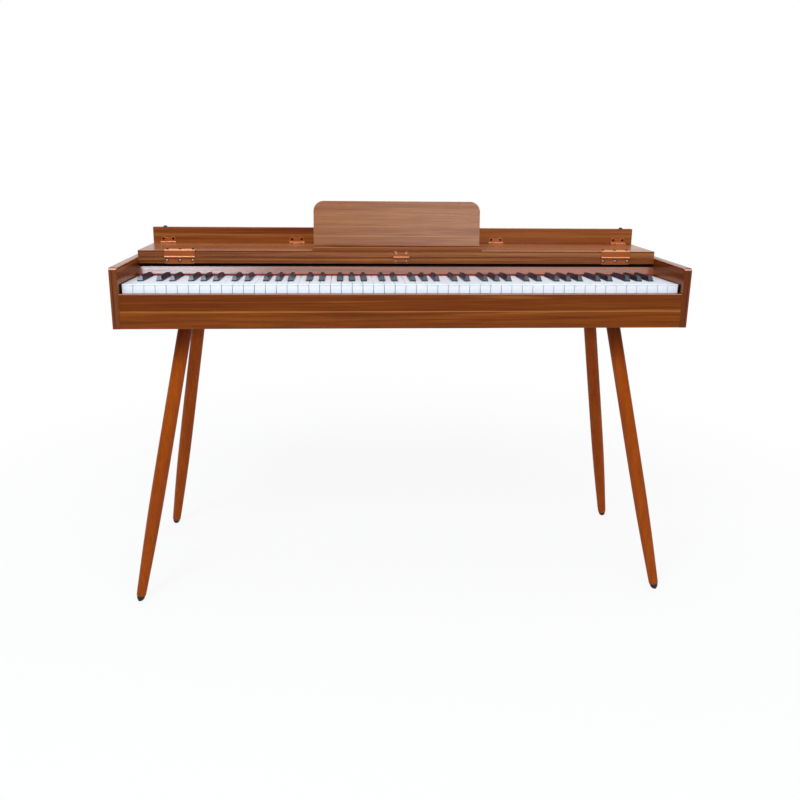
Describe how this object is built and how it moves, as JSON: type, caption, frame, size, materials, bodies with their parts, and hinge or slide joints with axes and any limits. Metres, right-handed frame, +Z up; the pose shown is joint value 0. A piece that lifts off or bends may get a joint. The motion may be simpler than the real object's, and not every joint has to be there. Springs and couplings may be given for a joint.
{
  "type": "digital piano",
  "caption": "Digital piano in a slim walnut cabinet on splayed round legs, with a fold-back lid, hinged front flap and music stand.",
  "frame": {"origin": "on the floor, at the middle of the four feet", "axes": "+Z up; +X to the player's right; +Y away from the player"},
  "size_m": [1.2612, 0.407, 0.904],
  "materials": {
    "walnut": "satin",
    "walnut_leg": "satin",
    "white_key": "gloss",
    "black_key": "satin",
    "felt": "matte",
    "steel": "satin",
    "copper_leaf": "satin",
    "dark_screw": "satin",
    "rubber": "matte",
    "black_plastic": "matte",
    "board_green": "satin"
  },
  "bodies": {
    "cabinet": {"side_panel_left": "walnut", "side_panel_right": "walnut", "front_rail": "walnut", "rear_top_board": "walnut", "bottom_board": "walnut", "back_board": "walnut", "fallboard_strip": "walnut", "keybed_frame": "black_plastic", "felt_strips": "felt", "sensor_strip": "board_green", "lid_hinge_lower_leaves": "copper_leaf", "leg_front_left": "walnut_leg", "leg_front_right": "walnut_leg", "leg_rear_left": "walnut_leg", "leg_rear_right": "walnut_leg", "foot_glides": "rubber", "leg_plates": "steel", "cabinet_screws": "steel", "speakers": "black_plastic", "speaker_grilles": "black_plastic", "main_circuit_board": "board_green", "socket_panel": "black_plastic"},
    "lid": {"lid_board": "walnut", "music_ledge": "walnut", "lid_hinge_upper_leaves": "copper_leaf", "flap_hinge_lid_leaves": "copper_leaf", "stand_hinge_lid_leaves": "copper_leaf", "lid_screws": "dark_screw"},
    "flap": {"front_flap": "walnut", "flap_bumpers": "rubber", "flap_hinge_leaves": "copper_leaf", "flap_screws": "dark_screw"},
    "stand": {"music_stand": "walnut", "stand_hinge_leaves": "copper_leaf"},
    "white_keys_octave_1": {"white_keys_octave_1": "white_key"},
    "black_keys_octave_1": {"black_keys_octave_1": "black_key"},
    "white_keys_octave_2": {"white_keys_octave_2": "white_key"},
    "black_keys_octave_2": {"black_keys_octave_2": "black_key"},
    "white_keys_octave_3": {"white_keys_octave_3": "white_key"},
    "black_keys_octave_3": {"black_keys_octave_3": "black_key"},
    "white_keys_octave_5": {"white_keys_octave_5": "white_key"},
    "black_keys_octave_5": {"black_keys_octave_5": "black_key"},
    "white_keys_octave_6": {"white_keys_octave_6": "white_key"},
    "black_keys_octave_6": {"black_keys_octave_6": "black_key"},
    "white_keys_octave_7": {"white_keys_octave_7": "white_key"},
    "black_keys_octave_7": {"black_keys_octave_7": "black_key"},
    "key_c4": {"key_c4": "white_key"},
    "key_c_sharp4": {"key_c_sharp4": "black_key"},
    "key_d4": {"key_d4": "white_key"},
    "key_d_sharp4": {"key_d_sharp4": "black_key"},
    "key_e4": {"key_e4": "white_key"},
    "key_f4": {"key_f4": "white_key"},
    "key_f_sharp4": {"key_f_sharp4": "black_key"},
    "key_g4": {"key_g4": "white_key"},
    "key_g_sharp4": {"key_g_sharp4": "black_key"},
    "key_a4": {"key_a4": "white_key"},
    "key_a_sharp4": {"key_a_sharp4": "black_key"},
    "key_b4": {"key_b4": "white_key"}
  },
  "joints": [
    {"name": "lid_hinge", "type": "hinge", "parent": "cabinet", "child": "lid", "pos_m": [0, -0.0163, 0.77425], "axis": [1, 0, 0], "range_deg": [0, 180]},
    {"name": "flap_hinge", "type": "hinge", "parent": "lid", "child": "flap", "pos_m": [0, 0.1406, 0.7918], "axis": [-1, 0, 0], "range_deg": [-80, 0]},
    {"name": "stand_hinge", "type": "hinge", "parent": "lid", "child": "stand", "pos_m": [-0.009, 0.0095, 0.7915], "axis": [-1, 0, 0], "range_deg": [0, 84]},
    {"name": "white_keys_octave_1_pivot", "type": "hinge", "parent": "cabinet", "child": "white_keys_octave_1", "pos_m": [0, 0.04, 0.70657], "axis": [1, 0, 0], "range_deg": [0, 2.76], "stiffness_Nm_per_rad": 18, "springref_deg": -6.3},
    {"name": "black_keys_octave_1_pivot", "type": "hinge", "parent": "cabinet", "child": "black_keys_octave_1", "pos_m": [0, 0.04, 0.70657], "axis": [1, 0, 0], "range_deg": [0, 2.76], "stiffness_Nm_per_rad": 9, "springref_deg": -5.16},
    {"name": "white_keys_octave_2_pivot", "type": "hinge", "parent": "cabinet", "child": "white_keys_octave_2", "pos_m": [0, 0.04, 0.70657], "axis": [1, 0, 0], "range_deg": [0, 2.76], "stiffness_Nm_per_rad": 14, "springref_deg": -6.3},
    {"name": "black_keys_octave_2_pivot", "type": "hinge", "parent": "cabinet", "child": "black_keys_octave_2", "pos_m": [0, 0.04, 0.70657], "axis": [1, 0, 0], "range_deg": [0, 2.76], "stiffness_Nm_per_rad": 7.5, "springref_deg": -5.16},
    {"name": "white_keys_octave_3_pivot", "type": "hinge", "parent": "cabinet", "child": "white_keys_octave_3", "pos_m": [0, 0.04, 0.70657], "axis": [1, 0, 0], "range_deg": [0, 2.76], "stiffness_Nm_per_rad": 14, "springref_deg": -6.3},
    {"name": "black_keys_octave_3_pivot", "type": "hinge", "parent": "cabinet", "child": "black_keys_octave_3", "pos_m": [0, 0.04, 0.70657], "axis": [1, 0, 0], "range_deg": [0, 2.76], "stiffness_Nm_per_rad": 7.5, "springref_deg": -5.16},
    {"name": "white_keys_octave_5_pivot", "type": "hinge", "parent": "cabinet", "child": "white_keys_octave_5", "pos_m": [0, 0.04, 0.70657], "axis": [1, 0, 0], "range_deg": [0, 2.76], "stiffness_Nm_per_rad": 14, "springref_deg": -6.3},
    {"name": "black_keys_octave_5_pivot", "type": "hinge", "parent": "cabinet", "child": "black_keys_octave_5", "pos_m": [0, 0.04, 0.70657], "axis": [1, 0, 0], "range_deg": [0, 2.76], "stiffness_Nm_per_rad": 7.5, "springref_deg": -5.16},
    {"name": "white_keys_octave_6_pivot", "type": "hinge", "parent": "cabinet", "child": "white_keys_octave_6", "pos_m": [0, 0.04, 0.70657], "axis": [1, 0, 0], "range_deg": [0, 2.76], "stiffness_Nm_per_rad": 14, "springref_deg": -6.3},
    {"name": "black_keys_octave_6_pivot", "type": "hinge", "parent": "cabinet", "child": "black_keys_octave_6", "pos_m": [0, 0.04, 0.70657], "axis": [1, 0, 0], "range_deg": [0, 2.76], "stiffness_Nm_per_rad": 7.5, "springref_deg": -5.16},
    {"name": "white_keys_octave_7_pivot", "type": "hinge", "parent": "cabinet", "child": "white_keys_octave_7", "pos_m": [0, 0.04, 0.70657], "axis": [1, 0, 0], "range_deg": [0, 2.76], "stiffness_Nm_per_rad": 16, "springref_deg": -6.3},
    {"name": "black_keys_octave_7_pivot", "type": "hinge", "parent": "cabinet", "child": "black_keys_octave_7", "pos_m": [0, 0.04, 0.70657], "axis": [1, 0, 0], "range_deg": [0, 2.76], "stiffness_Nm_per_rad": 7.5, "springref_deg": -5.16},
    {"name": "key_c4_pivot", "type": "hinge", "parent": "cabinet", "child": "key_c4", "pos_m": [0, 0.04, 0.70657], "axis": [1, 0, 0], "range_deg": [0, 2.76], "stiffness_Nm_per_rad": 2, "springref_deg": -6.3},
    {"name": "key_c_sharp4_pivot", "type": "hinge", "parent": "cabinet", "child": "key_c_sharp4", "pos_m": [0, 0.04, 0.70657], "axis": [1, 0, 0], "range_deg": [0, 2.76], "stiffness_Nm_per_rad": 1.5, "springref_deg": -5.16},
    {"name": "key_d4_pivot", "type": "hinge", "parent": "cabinet", "child": "key_d4", "pos_m": [0, 0.04, 0.70657], "axis": [1, 0, 0], "range_deg": [0, 2.76], "stiffness_Nm_per_rad": 2, "springref_deg": -6.3},
    {"name": "key_d_sharp4_pivot", "type": "hinge", "parent": "cabinet", "child": "key_d_sharp4", "pos_m": [0, 0.04, 0.70657], "axis": [1, 0, 0], "range_deg": [0, 2.76], "stiffness_Nm_per_rad": 1.5, "springref_deg": -5.16},
    {"name": "key_e4_pivot", "type": "hinge", "parent": "cabinet", "child": "key_e4", "pos_m": [0, 0.04, 0.70657], "axis": [1, 0, 0], "range_deg": [0, 2.76], "stiffness_Nm_per_rad": 2, "springref_deg": -6.3},
    {"name": "key_f4_pivot", "type": "hinge", "parent": "cabinet", "child": "key_f4", "pos_m": [0, 0.04, 0.70657], "axis": [1, 0, 0], "range_deg": [0, 2.76], "stiffness_Nm_per_rad": 2, "springref_deg": -6.3},
    {"name": "key_f_sharp4_pivot", "type": "hinge", "parent": "cabinet", "child": "key_f_sharp4", "pos_m": [0, 0.04, 0.70657], "axis": [1, 0, 0], "range_deg": [0, 2.76], "stiffness_Nm_per_rad": 1.5, "springref_deg": -5.16},
    {"name": "key_g4_pivot", "type": "hinge", "parent": "cabinet", "child": "key_g4", "pos_m": [0, 0.04, 0.70657], "axis": [1, 0, 0], "range_deg": [0, 2.76], "stiffness_Nm_per_rad": 2, "springref_deg": -6.3},
    {"name": "key_g_sharp4_pivot", "type": "hinge", "parent": "cabinet", "child": "key_g_sharp4", "pos_m": [0, 0.04, 0.70657], "axis": [1, 0, 0], "range_deg": [0, 2.76], "stiffness_Nm_per_rad": 1.5, "springref_deg": -5.16},
    {"name": "key_a4_pivot", "type": "hinge", "parent": "cabinet", "child": "key_a4", "pos_m": [0, 0.04, 0.70657], "axis": [1, 0, 0], "range_deg": [0, 2.76], "stiffness_Nm_per_rad": 2, "springref_deg": -6.3},
    {"name": "key_a_sharp4_pivot", "type": "hinge", "parent": "cabinet", "child": "key_a_sharp4", "pos_m": [0, 0.04, 0.70657], "axis": [1, 0, 0], "range_deg": [0, 2.76], "stiffness_Nm_per_rad": 1.5, "springref_deg": -5.16},
    {"name": "key_b4_pivot", "type": "hinge", "parent": "cabinet", "child": "key_b4", "pos_m": [0, 0.04, 0.70657], "axis": [1, 0, 0], "range_deg": [0, 2.76], "stiffness_Nm_per_rad": 2, "springref_deg": -6.3}
  ],
  "couplings": [
    {"joint": "stand_hinge", "follows": "lid_hinge", "ratio": 0.4666}
  ]
}
